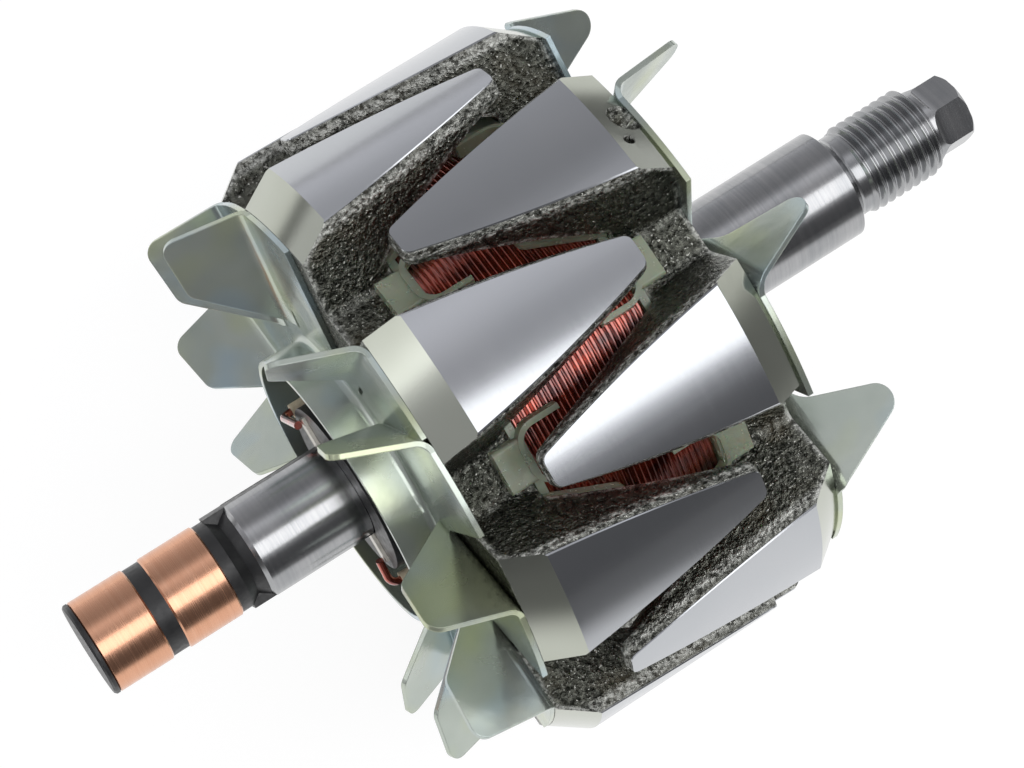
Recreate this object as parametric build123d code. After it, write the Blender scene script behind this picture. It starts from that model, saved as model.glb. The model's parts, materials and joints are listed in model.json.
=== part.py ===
from build123d import *
import math
import os
from collections import namedtuple

# Alternator rotor: two forged pole halves with interlocking claws around a wound coil,
# a pressed fan on each end, two slip rings, and a ground shaft with a thread and a hex nose.
# Millimetres. The shaft axis is X with the drive end at +X, +Z is up,
# and the origin is on the axis in the middle of the pole pack.

# Pole pack
CLAWS_PER_POLE = 8
PACK_RADIUS = 47.05
PACK_HALF_LENGTH = 23.65
REAR_CLAW_ANGLE = 11.25
DISC_THICKNESS = 10.6
VALLEY_DEPTH = 12.55
VALLEY_FILLET = 1.2
ROOT_CHAMFER_LENGTH = 5.2
ROOT_CHAMFER_DROP = 3.75
CLAW_ROOT_HALF_WIDTH = 8.1
CLAW_TIP_HALF_WIDTH = 2.2
CLAW_BULGE_WIDTH = 0.75
REAR_CLAW_LENGTH = 35.9
FRONT_CLAW_LENGTH = 36.7
CLAW_TIP_CORNER_RADIUS = 1.3
CLAW_ROOT_HEIGHT = 10.1
CLAW_MIDDLE_HEIGHT = 4.7
CLAW_TIP_HEIGHT = 2.3
CLAW_FOOT_DEPTH = 2.0
CLAW_BEVEL_DEPTH = 1.3
CLAW_BEVEL_ROOT_WIDTH = 1.3
CLAW_BEVEL_TIP_WIDTH = 0.3
CLAW_FLANK_WIDTH = 0.6

# Balance drilling in one front claw root
BALANCE_HOLE_RADIUS = 2.4
BALANCE_HOLE_DEPTH = 0.8
BALANCE_HOLE_OFFSET = 1.2
BALANCE_HOLE_ANGLE = 0.3
BALANCE_DIMPLE_RADIUS = 0.8
BALANCE_DIMPLE_DEPTH = 2.6
BALANCE_DIMPLE_OFFSET = 3.2
BALANCE_DIMPLE_ANGLE = 5.4
BALANCE_CLAW = 1
DRILL_POINT_SLOPE = 0.6

# Shaft
SEAT_RADIUS = 9.0
SEAT_OVERHANG_LENGTH = 1.2
FRONT_JOURNAL_RADIUS = 8.5
FRONT_JOURNAL_LENGTH = 29.8
FRONT_CHAMFER_LENGTH = 1.4
NECK_RADIUS = 6.4
NECK_LENGTH = 2.8
NECK_FILLET_RADIUS = 0.8
THREAD_RADIUS = 7.0
THREAD_LENGTH = 12.0
THREAD_CHAMFER = 0.9
HEX_ACROSS_FLATS = 10.0
HEX_NOSE_RADIUS = 5.8
HEX_NOSE_LENGTH = 6.4
HEX_NOSE_CHAMFER = 0.7
HEX_RUNOUT_RADIUS = 2.5
HEX_FLAT_LENGTH = 4.2
HEX_ANGLE = 10.0
REAR_JOURNAL_RADIUS = 7.5
REAR_JOURNAL_LENGTH = 14.8
REAR_RELIEF_RADIUS = 7.325
REAR_RELIEF_LENGTH = 6.8
REAR_JOURNAL_CHAMFER = 0.6
SPIGOT_RADIUS = 4.3
SPIGOT_CHAMFER = 0.5
CENTRE_HOLE_RADIUS = 1.6
CENTRE_HOLE_DEPTH = 2.4

# Slip rings and their moulding
RING_RADIUS = 7.15
RING_WALL = 1.25
RING_WIDTH = 8.8
RING_GAP = 2.5
RING_EDGE = 0.25
SPACER_RADIUS = 6.9
END_RIM_WIDTH = 0.8
END_RIM_EDGE = 0.3
END_CAP_THICKNESS = 1.2
NECK_FLANGE_WIDTH = 1.7
MOULDING_WAIST_RADIUS = 5.9
MOULDING_NECK_LENGTH = 4.7
RAIL_WIDTH = 3.6
RAIL_ANGLE = 27.0
RAIL_SINK_DEPTH = 0.3
GROOVE_FLOOR_RADIUS = 4.65
GROOVE_SIDE_GAP = 0.1
TERMINAL_RADIUS = 13.2
TERMINAL_THICKNESS = 4.6
TERMINAL_GAP = 0.3
STRIP_WIDTH = 2.2
STRIP_THICKNESS = 0.5
STRIP_RADIUS = 4.8
LUG_END_RADIUS = 11.8

# Coil, bobbin and core
WINDING_DEPTH = 8.55
BOBBIN_GAP = 0.25
BOBBIN_WALL = 1.1
FLANGE_THICKNESS = 1.2
FLANGE_RIM_HEIGHT = 0.3
COIL_GAP = 0.1
COIL_CORNER_RADIUS = 0.5
PETAL_THICKNESS = 0.95
PETAL_CLAW_GAP = 0.9
PETAL_ROOT_HALF_WIDTH = 8.4
PETAL_TIP_HALF_WIDTH = 3.4
PETAL_LENGTH = 10.8
PETAL_CORNER_RADIUS = 1.8
BLOCK_WIDTH = 6.4
BLOCK_LENGTH = 3.5
BLOCK_HEIGHT = 2.0
BLOCK_CORNER_RADIUS = 0.5
TIP_RIM_HALF_WIDTH = 4.6
TIP_RIM_LENGTH = 7.5
TIP_RIM_HEIGHT = 1.9
TIP_RIM_WALL = 0.8
TIP_RIM_CORNER_RADIUS = 3.2

# Coil leads and sleeves
LEAD_RADIUS = 0.6
LEAD_NOTCH_WIDTH = 1.7
SLEEVE_RADIUS = 1.1
SLEEVE_GAP = 0.08
LEAD_GROOVE_WIDTH = 2.8
LEAD_GROOVE_DEPTH = 2.6
LEAD_BEND_RADIUS = 1.6
LEAD_RISE_RADIUS = 15.6
LEAD_LENGTH_OVER_COIL = 2.0
LEAD_LUG_GAP = 0.05
SLEEVE_START_DEPTH = 2.0
START_LEAD_VALLEY = 0
FINISH_LEAD_VALLEY = 5

# Fans
SHEET = 0.8
COLLAR_BEND_RADIUS = 1.2
REAR_COLLAR_RADIUS = 21.5
REAR_COLLAR_HEIGHT = 6.1
FRONT_FAN_BORE_RADIUS = 16.0
FAN_HUB_RADIUS = 26.5
REAR_FAN_RADIUS = 43.2
FRONT_FAN_RADIUS = 43.7
REAR_LOBE_ANGLE = 17.0
FRONT_LOBE_ANGLE = 20.5
LOBE_SLANT = 11.0
LOBE_LENGTH = 27.3
REAR_BLADE_SKEW = 11.6
FRONT_BLADE_SKEW = 20.5
REAR_BLADE_LEAN = 21.7
FRONT_BLADE_LEAN = 11.9
BLADE_BEND_RADIUS = 2.0
REAR_BLADE_INNER_RADIUS = 23.95
BLADE_FOOT_HEIGHT = 0.5
BLADE_FOOT_DEPTH = 3.0
BLADE_STUB_WIDTH = 3.0
REAR_BLADE_HEIGHT = 13.1
REAR_BLADE_INNER_HEIGHT = 12.2
REAR_BLADE_RISE_LENGTH = 1.1
REAR_BLADE_TOP_LENGTH = 9.4
REAR_BLADE_CORNER_RADIUS = 2.2
FRONT_BLADE_HEIGHT = 17.3
FRONT_BLADE_RISE_LENGTH = 7.2
FRONT_BLADE_CORNER_RADIUS = 2.6
FRONT_BLADE_FLARE_LENGTH = 13.4
FRONT_BLADE_FLARE_HEIGHT = 2.8
FRONT_BLADE_FLARE_RADIUS = 4.0
FRONT_BLADE_FOOT_LENGTH = 18.0
RELIEF_SLOT_LENGTH = 3.4
RELIEF_SLOT_WIDTH = 0.9
REAR_BLADE_ANGLES = [26.75, 46.75, 91.75, 111.45, 146.45, 177.65, 224.75, 246.75, 316.75, 343.75]
FRONT_BLADE_ANGLES = [28.55, 74.65, 118.85, 165.25, 235.0, 274.0, 312.0, 350.0]

# Fits, and how far a cutting or joining shape runs past the faces it crosses
PRESS_GAP = 0.02
SEAT_GAP = 0.1
OVERRUN = 1.0

POLE_PITCH = 360 / CLAWS_PER_POLE
VALLEY_RADIUS = PACK_RADIUS - VALLEY_DEPTH
DISC_INNER_X = PACK_HALF_LENGTH - DISC_THICKNESS
FRONT_CLAW_ANGLE = REAR_CLAW_ANGLE + POLE_PITCH / 2
JOURNAL_START_X = PACK_HALF_LENGTH + SEAT_OVERHANG_LENGTH
FRONT_JOURNAL_END_X = JOURNAL_START_X + FRONT_JOURNAL_LENGTH
REAR_JOURNAL_START_X = -JOURNAL_START_X - REAR_RELIEF_LENGTH
REAR_JOURNAL_END_X = REAR_JOURNAL_START_X - REAR_JOURNAL_LENGTH
NECK_END_X = FRONT_JOURNAL_END_X + FRONT_CHAMFER_LENGTH + NECK_LENGTH
THREAD_END_X = NECK_END_X + THREAD_LENGTH
NOSE_END_X = THREAD_END_X + HEX_NOSE_LENGTH
RING_SEAT_RADIUS = RING_RADIUS - RING_WALL
MOULDING_START_X = REAR_JOURNAL_END_X - PRESS_GAP
INNER_RING_X = REAR_JOURNAL_END_X - MOULDING_NECK_LENGTH
OUTER_RING_X = INNER_RING_X - RING_WIDTH - RING_GAP
MOULDING_END_X = OUTER_RING_X - RING_WIDTH - END_RIM_WIDTH
SPIGOT_END_X = MOULDING_END_X + END_CAP_THICKNESS
TERMINAL_FACE_X = -(JOURNAL_START_X + TERMINAL_GAP + TERMINAL_THICKNESS)
BOBBIN_FACE_X = DISC_INNER_X - SEAT_GAP
COIL_HALF_LENGTH = BOBBIN_FACE_X - FLANGE_THICKNESS
COIL_RADIUS = PACK_RADIUS - CLAW_ROOT_HEIGHT - PETAL_CLAW_GAP - PETAL_THICKNESS - COIL_GAP
FLANGE_RADIUS = COIL_RADIUS + FLANGE_RIM_HEIGHT
BOBBIN_TUBE_RADIUS = COIL_RADIUS - WINDING_DEPTH - COIL_GAP
BOBBIN_INNER_RADIUS = BOBBIN_TUBE_RADIUS - BOBBIN_WALL
CORE_RADIUS = BOBBIN_INNER_RADIUS - BOBBIN_GAP
BLOCK_FOOT_RADIUS = VALLEY_RADIUS + SEAT_GAP
LEAD_GROOVE_X = -PACK_HALF_LENGTH + LEAD_GROOVE_DEPTH / 2
LEAD_LUG_X = TERMINAL_FACE_X - STRIP_THICKNESS - LEAD_RADIUS - LEAD_LUG_GAP
REAR_BLADE_OFFSET = REAR_FAN_RADIUS * math.sin(math.radians(REAR_BLADE_SKEW))
REAR_BLADE_FOOT_LENGTH = REAR_FAN_RADIUS * math.cos(math.radians(REAR_BLADE_SKEW)) - math.sqrt(
    REAR_BLADE_INNER_RADIUS**2 - REAR_BLADE_OFFSET**2
)


def turned(points):
    """A ring or shaft turned about X, from (x, radius) points."""
    return revolve(make_face(Polyline(*points, close=True)), Axis.X)


def tube(start_x, end_x, inner, outer):
    """A plain ring between two stations on the shaft."""
    return turned([(start_x, inner), (end_x, inner), (end_x, outer), (start_x, outer)])


def at_angle(shape, angle):
    """Turn a piece built with its radius along +Z to an angle measured from +Y towards +Z."""
    return Rot(X=angle - 90) * shape


def polar(x, radius, angle):
    """A point at a station, a radius and an angle about the shaft."""
    return Vector(x, radius * math.cos(math.radians(angle)), radius * math.sin(math.radians(angle)))


def claw_plan(claw_length, height, root_growth, tip_growth):
    """Outline of a rear claw seen from outside, at one height, grown by its own amount at each end."""
    root_x = -PACK_HALF_LENGTH - OVERRUN
    side_x = -PACK_HALF_LENGTH + ROOT_CHAMFER_LENGTH
    tip_x = -PACK_HALF_LENGTH + claw_length + tip_growth
    root_y = CLAW_ROOT_HALF_WIDTH + root_growth
    tip_y = CLAW_TIP_HALF_WIDTH + tip_growth
    mid_x = (side_x + tip_x) / 2
    mid_y = (root_y + tip_y) / 2 + CLAW_BULGE_WIDTH
    edges = [
        Line((root_x, -root_y), (root_x, root_y)),
        Line((root_x, root_y), (side_x, root_y)),
        ThreePointArc((side_x, root_y), (mid_x, mid_y), (tip_x, tip_y)),
        Line((tip_x, tip_y), (tip_x, -tip_y)),
        ThreePointArc((tip_x, -tip_y), (mid_x, -mid_y), (side_x, -root_y)),
        Line((side_x, -root_y), (root_x, -root_y)),
    ]
    face = make_face(edges)
    tips = face.vertices().sort_by(Axis.X)[-2:]
    face = fillet(tips, CLAW_TIP_CORNER_RADIUS + tip_growth)
    return Pos(Z=height) * face


def claw_section(claw_length, foot_radius):
    """The claws' turned outline: root chamfer, ground outside, and an underside hollowed in a curve."""
    tip_x = -PACK_HALF_LENGTH + claw_length + OVERRUN
    middle_x = (tip_x - DISC_INNER_X) / 2
    under_tip = (tip_x, PACK_RADIUS - CLAW_TIP_HEIGHT)
    under_middle = (middle_x, PACK_RADIUS - CLAW_MIDDLE_HEIGHT)
    under_root = (-DISC_INNER_X, PACK_RADIUS - CLAW_ROOT_HEIGHT)
    outside = Polyline(
        under_root,
        (-DISC_INNER_X, foot_radius - OVERRUN),
        (-PACK_HALF_LENGTH, foot_radius - OVERRUN),
        (-PACK_HALF_LENGTH, PACK_RADIUS - ROOT_CHAMFER_DROP),
        (-PACK_HALF_LENGTH + ROOT_CHAMFER_LENGTH, PACK_RADIUS),
        (tip_x, PACK_RADIUS),
        under_tip,
    )
    underside = ThreePointArc(under_tip, under_middle, under_root)
    return revolve(make_face([outside, underside]), Axis.X)


def claw(claw_length):
    """One rear claw, radius along +Z: a bevel that grows towards the root, flanks that spread inwards."""
    foot_radius = VALLEY_RADIUS - CLAW_FOOT_DEPTH
    shoulder_radius = PACK_RADIUS - CLAW_BEVEL_DEPTH
    crest_share = OVERRUN / CLAW_BEVEL_DEPTH
    foot_growth = CLAW_BEVEL_ROOT_WIDTH + CLAW_FLANK_WIDTH
    crest_root_growth = -CLAW_BEVEL_ROOT_WIDTH * crest_share
    crest_tip_growth = -CLAW_BEVEL_TIP_WIDTH * crest_share
    foot = claw_plan(claw_length, foot_radius, foot_growth, CLAW_BEVEL_TIP_WIDTH)
    shoulder = claw_plan(claw_length, shoulder_radius, CLAW_BEVEL_ROOT_WIDTH, CLAW_BEVEL_TIP_WIDTH)
    crest = claw_plan(claw_length, PACK_RADIUS + OVERRUN, crest_root_growth, crest_tip_growth)
    low = loft([foot, shoulder], ruled=True)
    top = loft([shoulder, crest], ruled=True)
    return (low + top) & claw_section(claw_length, foot_radius)


def pole(claw_length):
    """The rear pole half: a thick disc with its claws, bored for the shaft."""
    body = tube(-PACK_HALF_LENGTH, -DISC_INNER_X, SEAT_RADIUS + PRESS_GAP, VALLEY_RADIUS)
    one = claw(claw_length)
    for k in range(CLAWS_PER_POLE):
        body += at_angle(one, REAR_CLAW_ANGLE + k * POLE_PITCH)
    floor_edges = [e for e in body.edges() if on_valley_corner(e)]
    return fillet(floor_edges, VALLEY_FILLET)


def on_valley_corner(edge):
    """True for the edges where the claw flanks meet the floor of the valleys."""
    middle = edge.position_at(0.5)
    radius = math.hypot(middle.Y, middle.Z)
    across = abs(edge.tangent_at(0.5).X) < 0.9
    return not across and abs(radius - VALLEY_RADIUS) < PRESS_GAP


def valley_angle(index):
    """The angle of a valley between two rear claws."""
    return REAR_CLAW_ANGLE + (index + 0.5) * POLE_PITCH


def lead_angle(index):
    """The valley that a coil lead comes down."""
    return valley_angle(index) - POLE_PITCH


def rear_claw_pole():
    body = pole(REAR_CLAW_LENGTH)
    groove_bottom = LEAD_RISE_RADIUS - LEAD_GROOVE_WIDTH / 2
    groove_top = VALLEY_RADIUS + VALLEY_FILLET + OVERRUN
    groove_floor_x = -PACK_HALF_LENGTH + LEAD_GROOVE_DEPTH
    groove_start_x = -PACK_HALF_LENGTH - OVERRUN
    groove = strip(groove_start_x, groove_floor_x, groove_bottom, groove_top, LEAD_GROOVE_WIDTH)
    for valley in (START_LEAD_VALLEY, FINISH_LEAD_VALLEY):
        body -= at_angle(groove, lead_angle(valley))
    return body


def drilled_hole(radius, bottom):
    """The cut of a drill that comes down from above, with its shoulder at a height and its cone below."""
    top = PACK_RADIUS + OVERRUN
    profile = Polyline(
        (0, bottom - DRILL_POINT_SLOPE * radius),
        (radius, bottom),
        (radius, top),
        (0, top),
        close=True,
    )
    return revolve(Plane.XZ * make_face(profile), Axis.Z)


def front_claw_pole():
    body = mirror(pole(FRONT_CLAW_LENGTH), Plane.YZ)
    body = Rot(X=FRONT_CLAW_ANGLE - REAR_CLAW_ANGLE) * body
    claw_angle = FRONT_CLAW_ANGLE + BALANCE_CLAW * POLE_PITCH
    drills = [
        (BALANCE_HOLE_RADIUS, BALANCE_HOLE_DEPTH, BALANCE_HOLE_OFFSET, BALANCE_HOLE_ANGLE),
        (BALANCE_DIMPLE_RADIUS, BALANCE_DIMPLE_DEPTH, BALANCE_DIMPLE_OFFSET, BALANCE_DIMPLE_ANGLE),
    ]
    for radius, depth, setback, turn in drills:
        drop = ROOT_CHAMFER_DROP * (1 - setback / ROOT_CHAMFER_LENGTH)
        hole = drilled_hole(radius, PACK_RADIUS - drop - depth)
        body -= at_angle(Pos(X=PACK_HALF_LENGTH - setback) * hole, claw_angle + turn)
    return body


def pole_core():
    return tube(-DISC_INNER_X, DISC_INNER_X, SEAT_RADIUS + PRESS_GAP, CORE_RADIUS)


def hex_flats():
    """Six milled flats on the nose, each with the cutter's curved run-out."""
    cutters = []
    cut_start = NOSE_END_X - HEX_FLAT_LENGTH
    reach = HEX_NOSE_RADIUS
    for k in range(6):
        slab = Pos(NOSE_END_X, 0, (HEX_ACROSS_FLATS + reach) / 2)
        slab = slab * Box(2 * HEX_FLAT_LENGTH, 2 * reach, reach)
        wheel = Pos(cut_start, 0, HEX_ACROSS_FLATS / 2 + HEX_RUNOUT_RADIUS)
        wheel = wheel * Rot(X=90) * Cylinder(HEX_RUNOUT_RADIUS, 2 * reach)
        cutters.append(at_angle(slab + wheel, HEX_ANGLE + 60 * k))
    return cutters


def shaft():
    journal_foot_x = FRONT_JOURNAL_END_X + FRONT_CHAMFER_LENGTH
    body = turned([
        (SPIGOT_END_X + PRESS_GAP, 0),
        (SPIGOT_END_X + PRESS_GAP, SPIGOT_RADIUS - SPIGOT_CHAMFER),
        (SPIGOT_END_X + PRESS_GAP + SPIGOT_CHAMFER, SPIGOT_RADIUS),
        (REAR_JOURNAL_END_X, SPIGOT_RADIUS),
        (REAR_JOURNAL_END_X, REAR_JOURNAL_RADIUS - REAR_JOURNAL_CHAMFER),
        (REAR_JOURNAL_END_X + REAR_JOURNAL_CHAMFER, REAR_JOURNAL_RADIUS),
        (REAR_JOURNAL_START_X, REAR_JOURNAL_RADIUS),
        (REAR_JOURNAL_START_X, REAR_RELIEF_RADIUS),
        (-JOURNAL_START_X, REAR_RELIEF_RADIUS),
        (-JOURNAL_START_X, SEAT_RADIUS),
        (JOURNAL_START_X, SEAT_RADIUS),
        (JOURNAL_START_X, FRONT_JOURNAL_RADIUS),
        (FRONT_JOURNAL_END_X, FRONT_JOURNAL_RADIUS),
        (journal_foot_x, NECK_RADIUS),
        (NECK_END_X - THREAD_CHAMFER, NECK_RADIUS),
        (NECK_END_X, THREAD_RADIUS),
        (THREAD_END_X - THREAD_CHAMFER, THREAD_RADIUS),
        (THREAD_END_X, HEX_NOSE_RADIUS),
        (NOSE_END_X - HEX_NOSE_CHAMFER, HEX_NOSE_RADIUS),
        (NOSE_END_X, HEX_NOSE_RADIUS - HEX_NOSE_CHAMFER),
        (NOSE_END_X, CENTRE_HOLE_RADIUS),
        (NOSE_END_X - CENTRE_HOLE_DEPTH, 0),
    ])
    body = fillet([e for e in body.edges() if on_neck_corner(e)], NECK_FILLET_RADIUS)
    for cutter in hex_flats():
        body -= cutter
    groove_width = RAIL_WIDTH + 2 * GROOVE_SIDE_GAP
    groove_top = REAR_JOURNAL_RADIUS + OVERRUN
    groove_start = REAR_JOURNAL_END_X - OVERRUN
    groove = strip(groove_start, -JOURNAL_START_X, GROOVE_FLOOR_RADIUS, groove_top, groove_width)
    for turn in (0, 180):
        body -= at_angle(groove, RAIL_ANGLE + turn)
    return body


def on_neck_corner(edge):
    """True for the ring edge where the front journal's chamfer meets the neck."""
    middle = edge.position_at(0.5)
    at_foot = abs(middle.X - FRONT_JOURNAL_END_X - FRONT_CHAMFER_LENGTH) < PRESS_GAP
    return at_foot and abs(math.hypot(middle.Y, middle.Z) - NECK_RADIUS) < PRESS_GAP


def strip(start_x, end_x, inner, outer, width):
    """A flat bar along the shaft, radius along +Z."""
    bar = Box(end_x - start_x, width, outer - inner)
    return Pos((start_x + end_x) / 2, 0, (inner + outer) / 2) * bar


def ring_conductor(ring_x, turn):
    """Strip from under a slip ring, along its rail, to a lug on the terminal collar."""
    tab_end = ring_x - RING_WIDTH / 2
    strip_top = STRIP_RADIUS + STRIP_THICKNESS
    body = strip(tab_end, TERMINAL_FACE_X, STRIP_RADIUS, strip_top, STRIP_WIDTH)
    tab = strip(tab_end, tab_end + STRIP_WIDTH, STRIP_RADIUS, RING_SEAT_RADIUS, STRIP_WIDTH)
    body += tab & tube(tab_end, tab_end + STRIP_WIDTH, STRIP_RADIUS - OVERRUN, RING_SEAT_RADIUS)
    lug_x = TERMINAL_FACE_X - STRIP_THICKNESS
    body += strip(lug_x, TERMINAL_FACE_X, STRIP_RADIUS, LUG_END_RADIUS, STRIP_WIDTH)
    return at_angle(body, RAIL_ANGLE + turn)


def slip_ring(ring_x):
    end_x = ring_x - RING_WIDTH
    return turned([
        (end_x, RING_SEAT_RADIUS),
        (ring_x, RING_SEAT_RADIUS),
        (ring_x, RING_RADIUS - RING_EDGE),
        (ring_x - RING_EDGE, RING_RADIUS),
        (end_x + RING_EDGE, RING_RADIUS),
        (end_x, RING_RADIUS - RING_EDGE),
    ])


def slip_ring_insulator():
    outer_end = OUTER_RING_X - RING_WIDTH
    inner_end = INNER_RING_X - RING_WIDTH
    flange_end = INNER_RING_X + NECK_FLANGE_WIDTH
    waist_x = (flange_end + MOULDING_START_X) / 2
    barrel = turned([
        (MOULDING_END_X, 0),
        (MOULDING_END_X, RING_RADIUS - END_RIM_EDGE),
        (MOULDING_END_X + END_RIM_EDGE, RING_RADIUS),
        (outer_end, RING_RADIUS),
        (outer_end, RING_SEAT_RADIUS),
        (OUTER_RING_X, RING_SEAT_RADIUS),
        (OUTER_RING_X, SPACER_RADIUS),
        (inner_end, SPACER_RADIUS),
        (inner_end, RING_SEAT_RADIUS),
        (INNER_RING_X, RING_SEAT_RADIUS),
        (INNER_RING_X, SPACER_RADIUS),
        (flange_end, SPACER_RADIUS),
        (waist_x, MOULDING_WAIST_RADIUS),
        (MOULDING_START_X, SPACER_RADIUS),
        (MOULDING_START_X, SPIGOT_RADIUS + PRESS_GAP),
        (SPIGOT_END_X, SPIGOT_RADIUS + PRESS_GAP),
        (SPIGOT_END_X, 0),
    ])
    rail_end = TERMINAL_FACE_X + TERMINAL_THICKNESS
    rail_floor = GROOVE_FLOOR_RADIUS + PRESS_GAP
    rail_top = REAR_JOURNAL_RADIUS - RAIL_SINK_DEPTH
    collar_bore = REAR_JOURNAL_RADIUS + SEAT_GAP
    body = barrel + tube(TERMINAL_FACE_X, rail_end, collar_bore, TERMINAL_RADIUS)
    rail = strip(flange_end, rail_end, rail_floor, rail_top, RAIL_WIDTH)
    link = strip(TERMINAL_FACE_X, rail_end, rail_floor, collar_bore + OVERRUN, RAIL_WIDTH)
    for turn in (0, 180):
        body += at_angle(rail + link, RAIL_ANGLE + turn)
    body -= ring_conductor(OUTER_RING_X, 0)
    body -= ring_conductor(INNER_RING_X, 180)
    return body


def petal_plan():
    """Outline of a bobbin petal on the rear side, seen from outside."""
    root_x = -BOBBIN_FACE_X
    tip_x = -BOBBIN_FACE_X + PETAL_LENGTH
    face = make_face(Polyline(
        (root_x, -PETAL_ROOT_HALF_WIDTH),
        (tip_x, -PETAL_TIP_HALF_WIDTH),
        (tip_x, PETAL_TIP_HALF_WIDTH),
        (root_x, PETAL_ROOT_HALF_WIDTH),
        close=True,
    ))
    return fillet(face.vertices().sort_by(Axis.X)[-2:], PETAL_CORNER_RADIUS)


def bobbin_block():
    """A block of the bobbin's flange that fills a valley."""
    length = BLOCK_LENGTH + FLANGE_THICKNESS
    block = Box(length, BLOCK_WIDTH, BLOCK_HEIGHT)
    block = fillet(block.edges().filter_by(Axis.X).sort_by(Axis.Z)[-2:], BLOCK_CORNER_RADIUS)
    return Pos(-COIL_HALF_LENGTH - length / 2, 0, BLOCK_FOOT_RADIUS + BLOCK_HEIGHT / 2) * block


def tip_rim():
    """A U-shaped wall of the bobbin round the place where a claw of the other pole ends."""
    outer_x = -BOBBIN_FACE_X
    inner_x = -BOBBIN_FACE_X + TIP_RIM_WALL
    end_x = -BOBBIN_FACE_X + TIP_RIM_LENGTH
    outside = rim_plan(outer_x, end_x, TIP_RIM_HALF_WIDTH, TIP_RIM_CORNER_RADIUS)
    inner_radius = TIP_RIM_CORNER_RADIUS - TIP_RIM_WALL
    inside = rim_plan(inner_x, end_x + OVERRUN, TIP_RIM_HALF_WIDTH - TIP_RIM_WALL, inner_radius)
    foot_radius = COIL_RADIUS + COIL_GAP
    shell = tube(outer_x, end_x, foot_radius, foot_radius + TIP_RIM_HEIGHT)
    return extrude(outside - inside, 2 * PACK_RADIUS) & shell


def rim_plan(start_x, end_x, half_width, corner_radius):
    """A rectangle seen from outside, rounded at its end towards the pole."""
    face = make_face(Polyline(
        (start_x, -half_width),
        (end_x, -half_width),
        (end_x, half_width),
        (start_x, half_width),
        close=True,
    ))
    return fillet(face.vertices().sort_by(Axis.X)[:2], corner_radius)


def lead_notch(angle):
    """Notch across the rear flange and its block, where a lead passes."""
    start_x = -BOBBIN_FACE_X - BLOCK_LENGTH - OVERRUN
    end_x = -COIL_HALF_LENGTH + OVERRUN
    top = BLOCK_FOOT_RADIUS + BLOCK_HEIGHT + OVERRUN
    return at_angle(strip(start_x, end_x, COIL_RADIUS, top, LEAD_NOTCH_WIDTH), angle)


def coil_bobbin():
    body = tube(-BOBBIN_FACE_X, BOBBIN_FACE_X, BOBBIN_INNER_RADIUS, BOBBIN_TUBE_RADIUS)
    petal_inner = COIL_RADIUS + COIL_GAP
    shell = tube(-BOBBIN_FACE_X, 0, petal_inner, petal_inner + PETAL_THICKNESS)
    petal = extrude(petal_plan(), 2 * PACK_RADIUS) & shell
    half = tube(-BOBBIN_FACE_X, -COIL_HALF_LENGTH, BOBBIN_INNER_RADIUS, FLANGE_RADIUS)
    for k in range(CLAWS_PER_POLE):
        half += at_angle(petal, REAR_CLAW_ANGLE + k * POLE_PITCH)
        half += at_angle(bobbin_block(), REAR_CLAW_ANGLE + (k + 0.5) * POLE_PITCH)
        half += at_angle(tip_rim(), REAR_CLAW_ANGLE + (k + 0.5) * POLE_PITCH)
    front_half = Rot(X=FRONT_CLAW_ANGLE - REAR_CLAW_ANGLE) * mirror(half, Plane.YZ)
    for valley in (START_LEAD_VALLEY, FINISH_LEAD_VALLEY):
        half -= lead_notch(lead_angle(valley))
    return body + half + front_half


def field_coil():
    inner = BOBBIN_TUBE_RADIUS + COIL_GAP
    end_x = COIL_HALF_LENGTH - COIL_GAP
    return turned([
        (-end_x, inner),
        (end_x, inner),
        (end_x, COIL_RADIUS - COIL_CORNER_RADIUS),
        (end_x - COIL_CORNER_RADIUS, COIL_RADIUS),
        (-end_x + COIL_CORNER_RADIUS, COIL_RADIUS),
        (-end_x, COIL_RADIUS - COIL_CORNER_RADIUS),
    ])


def lead_path(angle, lug_angle):
    """Route of a coil lead: over the flange, down the pole's groove and up to its lug."""
    valley_height = COIL_RADIUS + LEAD_RADIUS + COIL_GAP
    points = [
        polar(-COIL_HALF_LENGTH + LEAD_LENGTH_OVER_COIL, valley_height, angle),
        polar(LEAD_GROOVE_X, valley_height, angle),
        polar(LEAD_GROOVE_X, LEAD_RISE_RADIUS, angle),
        polar(LEAD_LUG_X, LEAD_RISE_RADIUS, angle),
        polar(LEAD_LUG_X, LUG_END_RADIUS - LEAD_RADIUS, lug_angle),
    ]
    return FilletPolyline(*points, radius=LEAD_BEND_RADIUS)


def round_wire(path, radius):
    """A round wire along a path."""
    start = Plane(path @ 0, z_dir=path % 0)
    return sweep(start * Circle(radius), path)


def sleeve_path(angle):
    """The stretch of a lead that its sleeve covers: the groove and the rise at the hub."""
    return FilletPolyline(
        polar(LEAD_GROOVE_X, VALLEY_RADIUS - SLEEVE_START_DEPTH, angle),
        polar(LEAD_GROOVE_X, LEAD_RISE_RADIUS, angle),
        polar(LEAD_LUG_X + LEAD_BEND_RADIUS, LEAD_RISE_RADIUS, angle),
        radius=LEAD_BEND_RADIUS,
    )


def lead_sleeve(angle):
    path = sleeve_path(angle)
    return round_wire(path, SLEEVE_RADIUS) - round_wire(path, LEAD_RADIUS + SLEEVE_GAP)


# A fan's own values: blade angles, bore, rim, the turn of each bend from the radius, the lean of
# the blades, how far round a lobe reaches, the length of a bend, the height of a blade, its outline
Fan = namedtuple("Fan", "angles bore radius skew lean lobe_angle foot_length height outline")


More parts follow.
